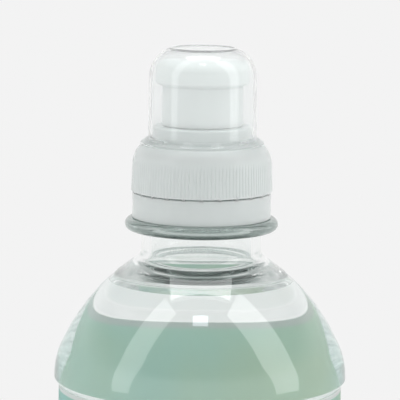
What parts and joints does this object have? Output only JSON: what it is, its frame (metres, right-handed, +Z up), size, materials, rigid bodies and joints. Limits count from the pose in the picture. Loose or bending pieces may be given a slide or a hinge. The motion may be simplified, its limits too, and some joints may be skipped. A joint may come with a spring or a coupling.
{
  "type": "sports water bottle",
  "caption": "Clear half-litre drinks bottle, filled with water, with a wrap label, a white screw cap, a push-pull drinking valve and a clear press-fit dust dome.",
  "frame": {"origin": "middle of the base, on the surface that the bottle stands on", "axes": "+Z up along the bottle's axis, towards the cap"},
  "size_m": [0.0632, 0.0632, 0.229],
  "materials": {
    "clear_pet": "clear blown PET, glossy",
    "water": "clear still water",
    "label_film": "thin printed film, fields of green",
    "cap_plastic": "translucent white polyethylene, satin",
    "valve_plastic": "translucent white polyethylene, satin",
    "clear_cover": "clear polypropylene, glossy"
  },
  "bodies": {
    "root": {"bottle": "clear_pet", "water": "water", "label": "label_film", "cap": "cap_plastic", "valve": "valve_plastic", "dome": "clear_cover"}
  },
  "joints": []
}
